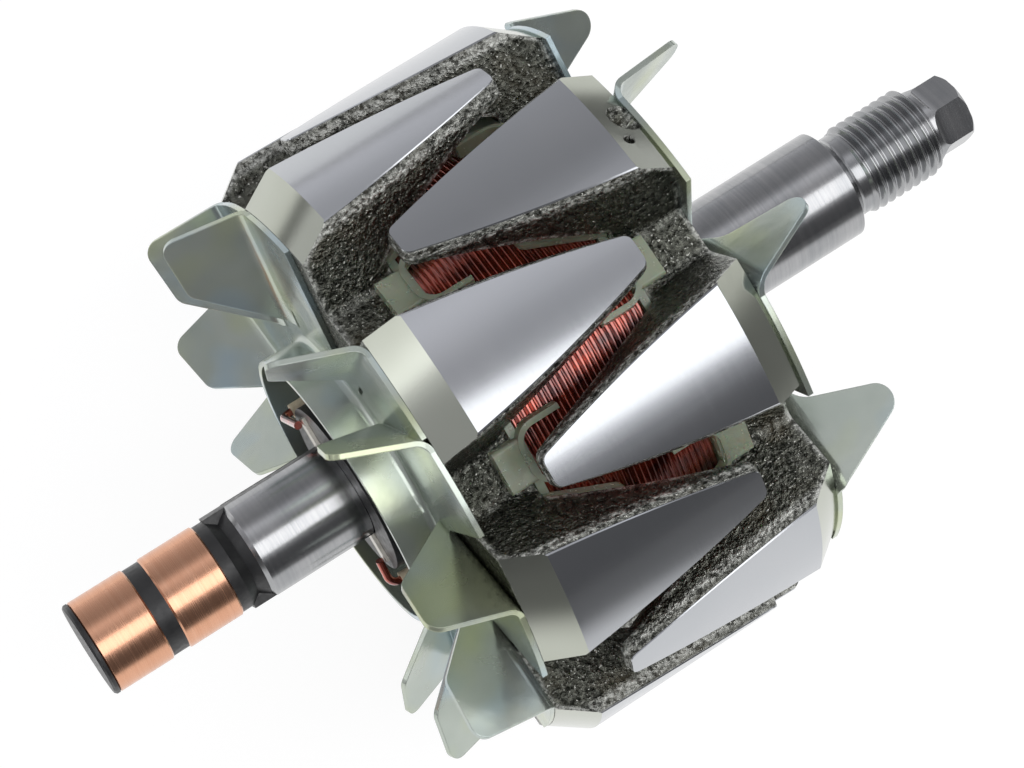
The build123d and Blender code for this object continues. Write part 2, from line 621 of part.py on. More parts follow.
def fan_lobe(form, angle):
    """Flat lobe beside a blade: its bend line on one side, a slanted edge on the other."""
    root = polar(0, form.radius, angle)
    bend_way = polar(0, 1, angle + form.skew)
    far = polar(0, form.radius, angle + form.lobe_angle)
    slant_way = polar(0, 1, angle + form.lobe_angle - LOBE_SLANT)
    corners = [
        root + bend_way * OVERRUN,
        root - bend_way * LOBE_LENGTH,
        far - slant_way * LOBE_LENGTH,
        far + slant_way * OVERRUN,
    ]
    return make_face(Polyline(*[(c.Y, c.Z) for c in corners], close=True))


def fan_plate(form):
    """The flat of a fan: a hub disc with a lobe beside every blade."""
    plan = Circle(FAN_HUB_RADIUS)
    for angle in form.angles:
        plan += fan_lobe(form, angle) & Circle(form.radius)
    plan -= Circle(form.bore)
    return plan


def rear_blade_outline():
    """A rear blade's outline: distance inwards along the bend, height above the plate."""
    points = [
        (0, -BLADE_FOOT_DEPTH),
        (0, BLADE_FOOT_HEIGHT),
        (REAR_BLADE_RISE_LENGTH, REAR_BLADE_HEIGHT),
        (REAR_BLADE_RISE_LENGTH + REAR_BLADE_TOP_LENGTH, REAR_BLADE_INNER_HEIGHT),
        (REAR_BLADE_FOOT_LENGTH, BLADE_FOOT_HEIGHT),
        (REAR_BLADE_FOOT_LENGTH, -BLADE_FOOT_DEPTH),
    ]
    face = make_face(Polyline(*points, close=True))
    return fillet(face.vertices().sort_by(Axis.Y)[-2:], REAR_BLADE_CORNER_RADIUS)


def front_blade_outline():
    """A front blade's outline: a leaning rounded triangle that flares into its bend at the inner end."""
    points = [
        (0, -BLADE_FOOT_DEPTH),
        (0, BLADE_FOOT_HEIGHT),
        (FRONT_BLADE_RISE_LENGTH, FRONT_BLADE_HEIGHT),
        (FRONT_BLADE_FLARE_LENGTH, FRONT_BLADE_FLARE_HEIGHT),
        (FRONT_BLADE_FOOT_LENGTH, BLADE_FOOT_HEIGHT),
        (FRONT_BLADE_FOOT_LENGTH, -BLADE_FOOT_DEPTH),
    ]
    face = make_face(Polyline(*points, close=True))
    by_height = face.vertices().sort_by(Axis.Y)
    face = fillet(by_height[-1:], FRONT_BLADE_CORNER_RADIUS)
    flare = face.vertices().sort_by_distance((FRONT_BLADE_FLARE_LENGTH, FRONT_BLADE_FLARE_HEIGHT))
    return fillet(flare[:1], FRONT_BLADE_FLARE_RADIUS)


def bent_section(form):
    """Section across a blade's bend: a stub of plate, the bend, and the leaning blade."""
    turn = 90 - form.lean
    inner = BLADE_BEND_RADIUS
    outer = BLADE_BEND_RADIUS + SHEET

    def on_bend(radius, angle):
        rad = math.radians(angle)
        return (-radius * math.sin(rad), inner - radius * math.cos(rad))

    def beyond(radius, length):
        foot = on_bend(radius, turn)
        rad = math.radians(turn)
        return (foot[0] - length * math.cos(rad), foot[1] + length * math.sin(rad))

    length = form.height + OVERRUN
    return make_face([
        Line((BLADE_STUB_WIDTH, 0), on_bend(inner, 0)),
        ThreePointArc(on_bend(inner, 0), on_bend(inner, turn / 2), on_bend(inner, turn)),
        Line(on_bend(inner, turn), beyond(inner, length)),
        Line(beyond(inner, length), beyond(outer, length)),
        Line(beyond(outer, length), on_bend(outer, turn)),
        ThreePointArc(on_bend(outer, turn), on_bend(outer, turn / 2), on_bend(outer, 0)),
        Line(on_bend(outer, 0), (BLADE_STUB_WIDTH, -SHEET)),
        Line((BLADE_STUB_WIDTH, -SHEET), (BLADE_STUB_WIDTH, 0)),
    ])


def fan_blade(form):
    """A blade in its own frame: X inwards along the bend, Y across it, Z away from the poles."""
    section = Plane.YZ * bent_section(form)
    bent = extrude(section, form.foot_length, dir=(1, 0, 0))
    lean = math.radians(form.lean)
    blade_plane = Plane((0, 0, 0), x_dir=(1, 0, 0), z_dir=(0, -math.cos(lean), -math.sin(lean)))
    return bent & extrude(blade_plane * form.outline, form.foot_length, both=True)


def place_blade(form, piece, angle):
    """Put a blade on the rear plate's outer face, its bend starting at the rim."""
    root = polar(-PACK_HALF_LENGTH - SHEET, form.radius, angle)
    inward = polar(0, -1, angle + form.skew)
    seat = Plane(root, x_dir=inward, z_dir=(-1, 0, 0))
    return seat * piece


def relief_slot(form):
    """Slot at the inner end of a blade's bend, in the blade's own frame."""
    slot = Box(RELIEF_SLOT_LENGTH, RELIEF_SLOT_WIDTH, 4 * SHEET)
    return Pos(form.foot_length - RELIEF_SLOT_LENGTH / 2, RELIEF_SLOT_WIDTH, 0) * slot


def fan(form):
    """A pressed fan on the rear face: plate, blades and relief slots."""
    plate = extrude(Plane.YZ * fan_plate(form), SHEET, dir=(-1, 0, 0))
    body = Pos(X=-PACK_HALF_LENGTH) * plate
    blade = fan_blade(form)
    slot = relief_slot(form)
    for angle in form.angles:
        body += place_blade(form, blade, angle)
    for angle in form.angles:
        body -= place_blade(form, slot, angle)
    return body


def rear_collar():
    """The drawn neck in the middle of the rear fan."""
    face_x = -PACK_HALF_LENGTH - SHEET
    lip_x = face_x - REAR_COLLAR_HEIGHT
    outer = REAR_COLLAR_RADIUS
    inner = REAR_COLLAR_RADIUS - SHEET
    bend = COLLAR_BEND_RADIUS
    flat = outer + bend + OVERRUN
    return revolve(make_face([
        Line((-PACK_HALF_LENGTH, inner), (-PACK_HALF_LENGTH, flat)),
        Line((-PACK_HALF_LENGTH, flat), (face_x, flat)),
        Line((face_x, flat), (face_x, outer + bend)),
        RadiusArc((face_x, outer + bend), (face_x - bend, outer), bend),
        Line((face_x - bend, outer), (lip_x, outer)),
        Line((lip_x, outer), (lip_x, inner)),
        Line((lip_x, inner), (-PACK_HALF_LENGTH, inner)),
    ]), Axis.X)


def rear_fan():
    form = Fan(
        angles=REAR_BLADE_ANGLES,
        bore=REAR_COLLAR_RADIUS - SHEET,
        radius=REAR_FAN_RADIUS,
        skew=REAR_BLADE_SKEW,
        lean=REAR_BLADE_LEAN,
        lobe_angle=REAR_LOBE_ANGLE,
        foot_length=REAR_BLADE_FOOT_LENGTH,
        height=REAR_BLADE_HEIGHT,
        outline=rear_blade_outline(),
    )
    return fan(form) + rear_collar()


def front_fan():
    form = Fan(
        angles=FRONT_BLADE_ANGLES,
        bore=FRONT_FAN_BORE_RADIUS,
        radius=FRONT_FAN_RADIUS,
        skew=FRONT_BLADE_SKEW,
        lean=FRONT_BLADE_LEAN,
        lobe_angle=FRONT_LOBE_ANGLE,
        foot_length=FRONT_BLADE_FOOT_LENGTH,
        height=FRONT_BLADE_HEIGHT,
        outline=front_blade_outline(),
    )
    return mirror(fan(form), Plane.YZ)


start_angle = lead_angle(START_LEAD_VALLEY)
finish_angle = lead_angle(FINISH_LEAD_VALLEY)
pieces = {
    "shaft": shaft(),
    "rear_claw_pole": rear_claw_pole(),
    "front_claw_pole": front_claw_pole(),
    "pole_core": pole_core(),
    "coil_bobbin": coil_bobbin(),
    "field_coil": field_coil(),
    "coil_start_lead": round_wire(lead_path(start_angle, RAIL_ANGLE), LEAD_RADIUS),
    "coil_finish_lead": round_wire(lead_path(finish_angle, RAIL_ANGLE + 180), LEAD_RADIUS),
    "start_lead_sleeve": lead_sleeve(start_angle),
    "finish_lead_sleeve": lead_sleeve(finish_angle),
    "outer_slip_ring": slip_ring(OUTER_RING_X),
    "inner_slip_ring": slip_ring(INNER_RING_X),
    "slip_ring_insulator": slip_ring_insulator(),
    "outer_ring_conductor": ring_conductor(OUTER_RING_X, 0),
    "inner_ring_conductor": ring_conductor(INNER_RING_X, 180),
    "rear_fan": rear_fan(),
    "front_fan": front_fan(),
}

os.makedirs("parts", exist_ok=True)
for name, shape in pieces.items():
    export_step(shape, f"parts/{name}.step")
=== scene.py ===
import json
import math
import random
import bpy
from mathutils import Matrix, Vector


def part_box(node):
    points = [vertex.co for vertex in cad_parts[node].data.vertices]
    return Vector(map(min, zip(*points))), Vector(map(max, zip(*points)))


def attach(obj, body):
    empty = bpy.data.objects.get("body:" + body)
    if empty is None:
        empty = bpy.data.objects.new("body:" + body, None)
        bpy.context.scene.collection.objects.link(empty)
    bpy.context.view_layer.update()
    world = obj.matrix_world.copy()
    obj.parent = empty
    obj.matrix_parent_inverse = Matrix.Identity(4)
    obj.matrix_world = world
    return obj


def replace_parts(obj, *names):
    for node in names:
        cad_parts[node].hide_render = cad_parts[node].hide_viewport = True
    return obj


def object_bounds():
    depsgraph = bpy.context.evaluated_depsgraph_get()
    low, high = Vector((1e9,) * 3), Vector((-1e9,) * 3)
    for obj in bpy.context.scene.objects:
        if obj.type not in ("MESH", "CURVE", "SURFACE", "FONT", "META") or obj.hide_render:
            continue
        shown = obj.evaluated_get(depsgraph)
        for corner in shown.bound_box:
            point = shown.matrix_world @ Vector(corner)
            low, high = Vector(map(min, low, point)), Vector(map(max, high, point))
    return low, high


# The dressed alternator rotor. Lengths are in millimetres and turned into metres by MM.
# The shaft is X with the drive end at +X, and +Z is up.
MM = 0.001

# Camera: the pack's middle is this far right of, below and beyond the lens, in millimetres,
# and the shaft turns away from the picture plane by TILT and up across it by SLOPE.
# CAMERA_SIDE_ANGLE is the angle round the shaft, from +Y, of the side that faces the camera.
LENS = 107.75
AIM_RIGHT = 1.250
AIM_DOWN = -0.727
AIM_BEYOND = 437.413
SHAFT_TILT = math.radians(11.9105)
SHAFT_SLOPE = math.radians(32.1717)
CAMERA_SIDE_ANGLE = math.radians(108.75)
NEAREST_SEEN = 0.01

# Winding
WIRE_PITCH = 0.85
WIRE_STEPS = 6
COIL_STEPS = 240
WIRE_STRAY = 0.09

# Thread: its crest and root are flat over these shares of half a turn, and flanks join them
THREAD_PITCH = 1.5
THREAD_DEPTH = 0.9
THREAD_CREST_SHARE = 0.12
THREAD_ROOT_SHARE = 0.12
THREAD_STEPS = 96
THREAD_ROWS_PER_TURN = 14
NECK_RADIUS = 6.4
THREAD_CHAMFER = 0.9
NOSE_RADIUS = 5.8

# Points closer than WELD, which is in metres, count as one.
# A face within BAND_SLACK of the thread's band belongs to it.
WELD = 0.001 * MM
BAND_SLACK = 0.02

# Rounded edges of the forging and the fans' sheet. The claws' bevels end at their shoulders, and a painted
# highlight runs along the forging's edges and in a band along the shoulders.
FORGED_EDGE_RADIUS = 1.3
SHEET_EDGE_RADIUS = 0.2
EDGE_SAMPLES = 6
SHOULDER_RADIUS = 45.75
SHOULDER_HIGHLIGHT_WIDTH = 0.9

# Ground faces of the claws lie beyond this radius. The chamfers at the roots lie beyond this distance
# from the pack's middle, and the X part of their direction is between these two values.
GROUND_RADIUS = 46.9
GROUND_BLEND = 0.05
CHAMFER_START = 18.35
CHAMFER_FACING_LOW = 0.5
CHAMFER_FACING_HIGH = 0.66

# Scale of the turned and ground lines' pattern round the shaft, against 1 along it
LINE_DRAW = 0.006

# Room: the level of light at an angle round the shaft from the camera's side, in degrees
ROOM_LEVELS = [
    (-180, 1.0), (-120, 1.05), (-108, 0.85), (-98, 0.6), (-80, 0.44), (-55, 0.32), (-46, 0.42),
    (-34, 0.92), (-24, 0.72), (-14, 0.46), (32, 0.46), (42, 0.13), (74, 0.11), (84, 0.2),
    (94, 0.5), (108, 0.95), (180, 1.0),
]
ROOM_BLUE = 1.04
FULL_TURN = 360

# Pale wall past the drive end: its level, and where it starts and is full, as shares of the X direction
END_WALL_LEVEL = 1.1
END_WALL_START = 0.94
END_WALL_FULL = 0.985

# Lamps: angle round the shaft and towards the drive end, distance, sizes in metres, radiance
KEY_LAMP = (13, 13, 1.1, 2.2, 0.62, 1.9)
SIDE_LAMP = (-44, -58, 1.1, 0.36, 0.36, 0.95)

# Floor, in metres: the level and the share of its glow for the camera and for metal, and where metal
# stops seeing it. The lit part reaches further behind the rotor than in front of it or past its ends.
FLOOR_HALF_SIDE = 3.0
FLOOR_TONE = 0.82
FLOOR_ROUGHNESS = 0.8
FLOOR_GLOW = 1.12
FLOOR_GLOW_SHARE = 0.8
TABLE_MIDDLE_Y = 0.6
TABLE_END_SQUEEZE = 2.2
TABLE_LIT_RADIUS = 0.74
TABLE_DIM_RADIUS = 0.90
TABLE_DIM_LEVEL = 0.04

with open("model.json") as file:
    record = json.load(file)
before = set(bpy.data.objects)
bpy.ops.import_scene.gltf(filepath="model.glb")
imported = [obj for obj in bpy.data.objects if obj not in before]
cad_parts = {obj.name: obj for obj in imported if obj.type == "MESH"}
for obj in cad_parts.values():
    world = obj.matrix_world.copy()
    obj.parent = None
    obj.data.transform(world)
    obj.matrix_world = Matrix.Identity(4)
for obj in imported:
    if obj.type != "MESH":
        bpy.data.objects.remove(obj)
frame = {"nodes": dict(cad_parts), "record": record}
cad_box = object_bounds()
nodes = frame["nodes"]
mounts = {m["name"]: m for m in frame["record"]["mounts"]}
random.seed(7)


# Materials

class Shader:
    """A material with short calls for the nodes that this scene uses.

    Its plain colour, metal and roughness hold until a node takes their place.
    """

    def __init__(self, name, colour, metallic=0.0, roughness=0.5):
        self.material = bpy.data.materials.new(name)
        self.material.use_nodes = True
        self.tree = self.material.node_tree
        self.surface = self.tree.nodes["Principled BSDF"]
        self.surface.inputs["Base Color"].default_value = (*colour, 1)
        self.surface.inputs["Metallic"].default_value = metallic
        self.surface.inputs["Roughness"].default_value = roughness
        place = self.tree.nodes.new("ShaderNodeTexCoord")
        scale = self.node("ShaderNodeVectorMath", operation="SCALE")
        scale.inputs["Scale"].default_value = 1 / MM
        self.link(place.outputs["Object"], scale.inputs[0])
        self.place = scale.outputs[0]

    def node(self, kind, **values):
        made = self.tree.nodes.new(kind)
        for key, value in values.items():
            setattr(made, key, value)
        return made

    def link(self, source, target):
        self.tree.links.new(source, target)

    def feed(self, socket, value):
        """Give a socket a colour or a number, or link it to what a node puts out."""
        if isinstance(value, tuple):
            socket.default_value = (*value, 1)
        elif isinstance(value, (int, float)):
            socket.default_value = value
        else:
            self.link(value, socket)

    def math(self, operation, *values):
        made = self.node("ShaderNodeMath", operation=operation)
        for socket, value in zip(made.inputs, values):
            self.feed(socket, value)
        return made.outputs[0]

    def remap(self, value, low, high, out_low=0.0, out_high=1.0):
        """From one range of numbers to another, and no further than its ends."""
        made = self.node("ShaderNodeMapRange")
        self.link(value, made.inputs["Value"])
        made.inputs["From Min"].default_value = low
        made.inputs["From Max"].default_value = high
        made.inputs["To Min"].default_value = out_low
        made.inputs["To Max"].default_value = out_high
        return made.outputs["Result"]

    def stretched(self, x, y, z):
        """The place with each direction scaled, to draw a pattern out."""
        made = self.node("ShaderNodeVectorMath", operation="MULTIPLY")
        self.link(self.place, made.inputs[0])
        made.inputs[1].default_value = (x, y, z)
        return made.outputs[0]

    def noise(self, size, detail=3.0, place=None, rough=0.5):
        """Noise with patches about this many millimetres across."""
        made = self.node("ShaderNodeTexNoise")
        made.inputs["Scale"].default_value = 1 / size
        made.inputs["Detail"].default_value = detail
        made.inputs["Roughness"].default_value = rough
        self.link(place or self.place, made.inputs["Vector"])
        return made.outputs["Fac"]

    def turning_lines(self, size):
        """Fine lines round the shaft, as turning and grinding leave."""
        return self.noise(size, detail=4.0, place=self.stretched(1.0, LINE_DRAW, LINE_DRAW), rough=0.7)

    def mix(self, factor, first, second):
        """One colour to another."""
        made = self.node("ShaderNodeMix", data_type="RGBA")
        self.link(factor, made.inputs["Factor"])
        self.feed(made.inputs["A"], first)
        self.feed(made.inputs["B"], second)
        return made.outputs["Result"]

    def mix_value(self, factor, first, second):
        """One number to another."""
        made = self.node("ShaderNodeMix", data_type="FLOAT")
        self.link(factor, made.inputs["Factor"])
        self.feed(made.inputs["A"], first)
        self.feed(made.inputs["B"], second)
        return made.outputs["Result"]

    def mix_direction(self, factor, first, second):
        """One direction to another. A mix node's vector sockets are the fifth and sixth."""
        made = self.node("ShaderNodeMix", data_type="VECTOR")
        self.link(factor, made.inputs["Factor"])
        self.link(first, made.inputs[4])
        self.link(second, made.inputs[5])
        return made.outputs[1]

    def set(self, name, value):
        self.feed(self.surface.inputs[name], value)

    def worn_edges(self, radius):
        """The surface's direction with its edges rounded to this many millimetres."""
        made = self.node("ShaderNodeBevel", samples=EDGE_SAMPLES)
        made.inputs["Radius"].default_value = radius * MM
        return made.outputs["Normal"]

    def bump(self, height, depth, normal=None):
        """Bumps this many millimetres deep where the height goes from 0 to 1."""
        made = self.node("ShaderNodeBump")
        made.inputs["Distance"].default_value = depth * MM
        self.link(height, made.inputs["Height"])
        if normal is not None:
            self.link(normal, made.inputs["Normal"])
        self.link(made.outputs["Normal"], self.surface.inputs["Normal"])

    def axis_radius(self):
        """Distance from the shaft's axis in millimetres."""
        flat = self.node("ShaderNodeVectorMath", operation="LENGTH")
        self.link(self.stretched(0.0, 1.0, 1.0), flat.inputs[0])
        return flat.outputs["Value"]

    def parts(self, vector):
        """The X, Y and Z parts of a vector."""
        made = self.node("ShaderNodeSeparateXYZ")
        self.link(vector, made.inputs[0])
        return made.outputs


def ground_steel():
    s = Shader("ground_steel", (0.3, 0.3, 0.31), metallic=1.0, roughness=0.2)
    lines = s.turning_lines(0.12)
    wide = s.turning_lines(0.8)
    wear = s.noise(6.0, detail=4.0)
    tone = s.math("MULTIPLY", s.math("ADD", wide, wear), 0.5)
    s.set("Base Color", s.mix(s.remap(tone, 0.35, 0.65), (0.31, 0.32, 0.33), (0.43, 0.43, 0.435)))
    s.set("Roughness", s.remap(lines, 0.3, 0.75, 0.15, 0.25))
    s.bump(s.math("ADD", lines, wide), 0.0015)
    return s.material


def claw_steel():
    """Dark gritty forging, with ground outer faces and smooth chamfers at the claw roots, painted shade in
    its hollows and painted highlights on its specks, edges and shoulders.
    """
    s = Shader("claw_steel", (0.1, 0.1, 0.09), metallic=1.0, roughness=0.4)
    radius = s.axis_radius()
    along = s.math("ABSOLUTE", s.parts(s.place)[0])
    geometry = s.node("ShaderNodeNewGeometry")
    facing = s.math("ABSOLUTE", s.parts(geometry.outputs["True Normal"])[0])
    ground = s.remap(radius, GROUND_RADIUS - GROUND_BLEND, GROUND_RADIUS)
    above = s.math("GREATER_THAN", facing, CHAMFER_FACING_LOW)
    below = s.math("LESS_THAN", facing, CHAMFER_FACING_HIGH)
    sloped = s.math("MULTIPLY", above, below)
    chamfer = s.math("MULTIPLY", sloped, s.math("GREATER_THAN", along, CHAMFER_START))
    smooth = s.math("MAXIMUM", ground, chamfer)

    # Forged skin: bumps with painted shade darkening their hollows, brown patches, and bright specks that
    # are painted glints
    coarse = s.noise(0.85, detail=4.0, rough=0.6)
    patch = s.noise(7.0, detail=3.0)
    fine = s.noise(0.40, detail=2.0)
    painted_hollow_shade = (0.02, 0.021, 0.017)
    raised = (0.20, 0.205, 0.175)
    brown = (0.13, 0.11, 0.075)
    painted_glint = (0.65, 0.65, 0.6)
    forged = s.mix(s.remap(coarse, 0.35, 0.65), painted_hollow_shade, raised)
    forged = s.mix(s.remap(patch, 0.5, 0.75, 0.0, 0.5), forged, brown)
    forged = s.mix(s.remap(fine, 0.62, 0.70), forged, painted_glint)

    # Painted highlight: a pale grey, less metallic so that the lamps light it, in spots where the surface
    # bends within the edge radius and along the claws' shoulders
    rounded = s.worn_edges(FORGED_EDGE_RADIUS)
    bent = s.node("ShaderNodeVectorMath", operation="DOT_PRODUCT")
    s.link(rounded, bent.inputs[0])
    s.link(geometry.outputs["Normal"], bent.inputs[1])
    edge = s.remap(bent.outputs["Value"], 0.998, 0.955)
    from_shoulder = s.math("ABSOLUTE", s.math("SUBTRACT", radius, SHOULDER_RADIUS))
    shoulder = s.remap(from_shoulder, 0.0, SHOULDER_HIGHLIGHT_WIDTH, 1.0, 0.0)
    highlight_spots = s.remap(coarse, 0.40, 0.62, 0.1, 1.0)
    painted_edge_highlight = s.math("MULTIPLY", s.math("MAXIMUM", edge, shoulder), highlight_spots)
    edge_highlight_grey = (0.80, 0.81, 0.76)
    forged = s.mix(painted_edge_highlight, forged, edge_highlight_grey)
    forged_highlight_share = s.math("MULTIPLY", painted_edge_highlight, s.remap(smooth, 0.0, 0.5, 1.0, 0.0))
    s.set("Metallic", s.mix_value(forged_highlight_share, 1.0, 0.3))

    # Ground and chamfered faces
    lines = s.turning_lines(0.10)
    sheen = s.noise(16.0, detail=2.0)
    polished = s.mix(sheen, (0.46, 0.48, 0.505), (0.53, 0.54, 0.56))
    chamfered = s.mix(sheen, (0.42, 0.44, 0.37), (0.54, 0.56, 0.50))
    s.set("Base Color", s.mix(smooth, forged, s.mix(chamfer, polished, chamfered)))
    rough = s.mix_value(chamfer, s.remap(lines, 0.3, 0.75, 0.15, 0.22), 0.16)
    s.set("Roughness", s.mix_value(smooth, s.remap(coarse, 0.3, 0.7, 0.32, 0.16), rough))
    grit = s.math("ADD", coarse, s.math("MULTIPLY", fine, 0.4))
    flat = s.math("MULTIPLY", lines, 0.003)
    worn = s.mix_direction(smooth, rounded, geometry.outputs["Normal"])
    s.bump(s.mix_value(smooth, grit, flat), 0.6, worn)
    return s.material


def core_steel():
    s = Shader("core_steel", (0.35, 0.35, 0.35), metallic=1.0, roughness=0.35)
    lines = s.turning_lines(0.2)
    s.set("Roughness", s.remap(lines, 0.3, 0.7, 0.25, 0.45))
    s.bump(lines, 0.01)
    return s.material


def fan_sheet():
    """Pressed sheet with a pale plating, tinted yellow-green and blue in patches."""
    s = Shader("fan_sheet", (0.5, 0.53, 0.48), metallic=0.8, roughness=0.3)
    patch = s.noise(9.0, detail=3.0)
    tint = s.noise(17.0, detail=2.0)
    plate = s.mix(patch, (0.42, 0.48, 0.43), (0.60, 0.64, 0.58))
    plate = s.mix(s.remap(tint, 0.52, 0.66), plate, (0.56, 0.61, 0.42))
    plate = s.mix(s.remap(tint, 0.46, 0.34), plate, (0.46, 0.56, 0.60))
    s.set("Base Color", plate)
    s.set("Roughness", s.remap(s.noise(6.0, detail=3.0), 0.3, 0.7, 0.18, 0.28))
    s.bump(s.noise(5.0, detail=2.0), 0.06, s.worn_edges(SHEET_EDGE_RADIUS))
    return s.material


def coil_wire():
    """Dark red enamel over copper."""
    s = Shader("coil_wire", (0.42, 0.07, 0.035), metallic=0.85, roughness=0.2)
    patch = s.noise(3.0, detail=3.0)
    s.set("Base Color", s.mix(s.remap(patch, 0.35, 0.65), (0.09, 0.006, 0.004), (0.52, 0.070, 0.026)))
    s.set("Roughness", s.remap(s.noise(0.6), 0.3, 0.7, 0.12, 0.26))
    s.set("Coat Weight", 1.0)
    s.set("Coat Roughness", 0.07)
    s.set("Coat IOR", 1.9)
    return s.material


def bobbin_nylon():
    """Pale greenish nylon that lets some light through."""
    s = Shader("bobbin_nylon", (0.62, 0.66, 0.5), roughness=0.2)
    cloud = s.noise(4.0, detail=3.0)
    s.set("Base Color", s.mix(cloud, (0.54, 0.62, 0.43), (0.78, 0.82, 0.67)))
    s.set("Transmission Weight", 0.6)
    s.set("Subsurface Weight", 0.3)
    s.set("Subsurface Scale", 2 * MM)
    s.set("Roughness", s.remap(s.noise(1.0), 0.3, 0.7, 0.12, 0.30))
    s.bump(s.noise(1.6, detail=4.0), 0.08)
    return s.material


def black_moulding():
    s = Shader("black_moulding", (0.02, 0.02, 0.02), roughness=0.38)
    s.set("Base Color", s.mix(s.noise(2.5), (0.012, 0.012, 0.013), (0.035, 0.035, 0.036)))
    s.set("Roughness", s.remap(s.noise(0.8, detail=4.0), 0.3, 0.7, 0.3, 0.5))
    s.bump(s.noise(0.5, detail=4.0), 0.02)
    return s.material


def ring_copper():
    s = Shader("ring_copper", (0.78, 0.42, 0.27), metallic=1.0, roughness=0.22)
    lines = s.turning_lines(0.14)
    wide = s.turning_lines(0.9)
    s.set("Base Color", s.mix(wide, (0.60, 0.28, 0.16), (0.86, 0.50, 0.34)))
    s.set("Roughness", s.remap(lines, 0.3, 0.75, 0.14, 0.34))
    s.bump(s.math("ADD", lines, wide), 0.005)
    return s.material


def conductor_metal():
    s = Shader("conductor_metal", (0.6, 0.58, 0.52), metallic=1.0, roughness=0.35)
    s.set("Base Color", s.mix(s.noise(1.5), (0.48, 0.45, 0.38), (0.66, 0.64, 0.6)))
    s.bump(s.noise(0.4), 0.02)
    return s.material


def sleeve_cream():
    s = Shader("sleeve_cream", (0.8, 0.72, 0.55), roughness=0.75)
    s.set("Base Color", s.mix(s.noise(0.5, detail=4.0), (0.62, 0.5, 0.32), (0.84, 0.77, 0.6)))
    s.bump(s.noise(0.3, detail=2.0), 0.12)
    return s.material


finishes = {
    "ground_steel": ground_steel(),
    "forged_steel": claw_steel(),
    "core_steel": core_steel(),
    "fan_sheet": fan_sheet(),
    "coil_wire": coil_wire(),
    "bobbin_nylon": bobbin_nylon(),
    "black_moulding": black_moulding(),
    "ring_copper": ring_copper(),
    "conductor_metal": conductor_metal(),
    "sleeve_cream": sleeve_cream(),
}
slot_of = {p["node"]: p["material_slot"] for p in frame["record"]["subparts"]}


def dress(obj, slot):
    obj.data.materials.clear()
    obj.data.materials.append(finishes[slot])


for name, node in nodes.items():
    dress(node, slot_of[name])


# Pieces that take the place of plain solids

def add_piece(name, verts, faces, slot):
    """A smooth mesh that is part of the rotor."""
    mesh = bpy.data.meshes.new(name)
    mesh.from_pydata(verts, [], faces)
    mesh.polygons.foreach_set("use_smooth", [True] * len(faces))
    obj = bpy.data.objects.new(name, mesh)
    bpy.context.scene.collection.objects.link(obj)
    dress(obj, slot)
    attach(obj, "root")
    return obj


def around(x, radius, angle):
    """A point at this angle round the shaft, from +Y towards +Z."""
    return (x * MM, radius * math.cos(angle) * MM, radius * math.sin(angle) * MM)


def grid_faces(rows, steps, start=0, closed=False):
    """Quads between rows of points that each run once round the shaft."""
    faces = []
    for row in range(rows if closed else rows - 1):
        here = start + row * steps
        following = start + (row + 1) % rows * steps
        for step in range(steps):
            beside = (step + 1) % steps
            faces.append((here + step, here + beside, following + beside, following + step))
    return faces


def close_rims(verts, faces):
    """Fill each open rim with a flat face that has its own points, so that the shading beside it stays."""
    highlight_spots = [tuple(round(c / WELD) for c in v) for v in verts]
    sides = {(highlight_spots[a], highlight_spots[b]): a for face in faces for a, b in zip(face, face[1:] + face[:1])}
    rim = {b: (a, index) for (a, b), index in sides.items() if (b, a) not in sides and a != b}
    while rim:
        at = next(iter(rim))
        face = []
        while at in rim:
            at, index = rim.pop(at)
            face.append(len(verts))
            verts.append(verts[index])
        faces.append(tuple(face))


def wound_coil():
    """The winding, with one rounded ridge outside for each turn of wire."""
    low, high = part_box("field_coil")
    outer = high.z / MM
    start = low.x / MM
    length = (high.x - low.x) / MM
    turns = int(length / WIRE_PITCH)
    pitch = length / turns
    wire = pitch / 2
    inner = min(math.hypot(v.co.y, v.co.z) for v in nodes["field_coil"].data.vertices) / MM
    angles = [2 * math.pi * k / COIL_STEPS for k in range(COIL_STEPS)]
    slack = [random.uniform(0, WIRE_STRAY) for _ in range(turns)]
    waves = [(random.uniform(0, 2 * math.pi), random.randint(3, 7)) for _ in range(turns)]
    verts = [around(start, inner, angle) for angle in angles]
    for turn in range(turns):
        phase, count = waves[turn]
        for step in range(WIRE_STEPS):
            arc = math.pi * (step / (WIRE_STEPS - 1))
            for angle in angles:
                sink = slack[turn] * (1 + math.sin(angle * count + phase)) / 2
                x = start + pitch * (turn + 0.5) - wire * math.cos(arc)
                radius = outer - wire - sink + wire * math.sin(arc)
                verts.append(around(x, radius, angle))
    verts += [around(start + length, inner, angle) for angle in angles]
    faces = grid_faces(turns * WIRE_STEPS + 2, COIL_STEPS, closed=True)
    return add_piece("coil_turns", verts, faces, "coil_wire")


def thread_radius(x, angle, start, end, crest):
    """Radius of the thread at a place: its helix, held under the chamfers at both ends."""
    turn = (x / THREAD_PITCH - angle / (2 * math.pi)) % 1.0
    from_crest = abs(turn - 0.5) * 2 - THREAD_CREST_SHARE
    slope = min(1.0, max(0.0, from_crest / (1 - THREAD_CREST_SHARE - THREAD_ROOT_SHARE)))
    helix = crest - THREAD_DEPTH * slope
    rise = NECK_RADIUS + (crest - NECK_RADIUS) * (x - start) / THREAD_CHAMFER
    drop = NOSE_RADIUS + (crest - NOSE_RADIUS) * (end - x) / THREAD_CHAMFER
    return min(helix, rise, drop, crest)


